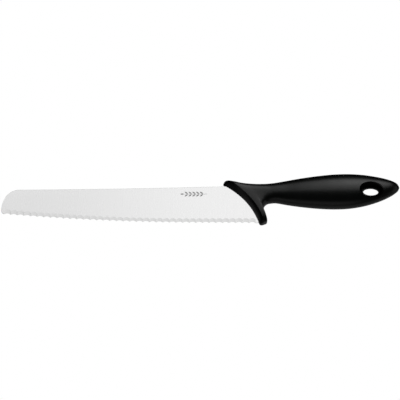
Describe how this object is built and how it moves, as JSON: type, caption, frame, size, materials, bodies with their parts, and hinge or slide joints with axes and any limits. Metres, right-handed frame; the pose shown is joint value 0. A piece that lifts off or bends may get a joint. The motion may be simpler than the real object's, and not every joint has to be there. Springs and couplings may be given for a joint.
{
  "type": "bread knife",
  "caption": "Bread knife with a long scalloped blade, a slanted guard, a swelling moulded grip and a hanging eye at the butt.",
  "frame": {"origin": "under the middle of the knife's box, on the surface that the handle's belly rests on, the knife lying on its side", "axes": "+X from the blade's tip to the handle's butt, +Y from the cutting edge to the spine, +Z out of the ground side of the blade"},
  "size_m": [0.3742, 0.05, 0.022],
  "materials": {
    "ground_steel": "fine grind",
    "hard_black": "smooth moulded",
    "matt_black": "fine moulded grain"
  },
  "bodies": {
    "root": {"blade": "ground_steel", "handle_core": "hard_black", "handle_skin": "matt_black"}
  },
  "joints": []
}
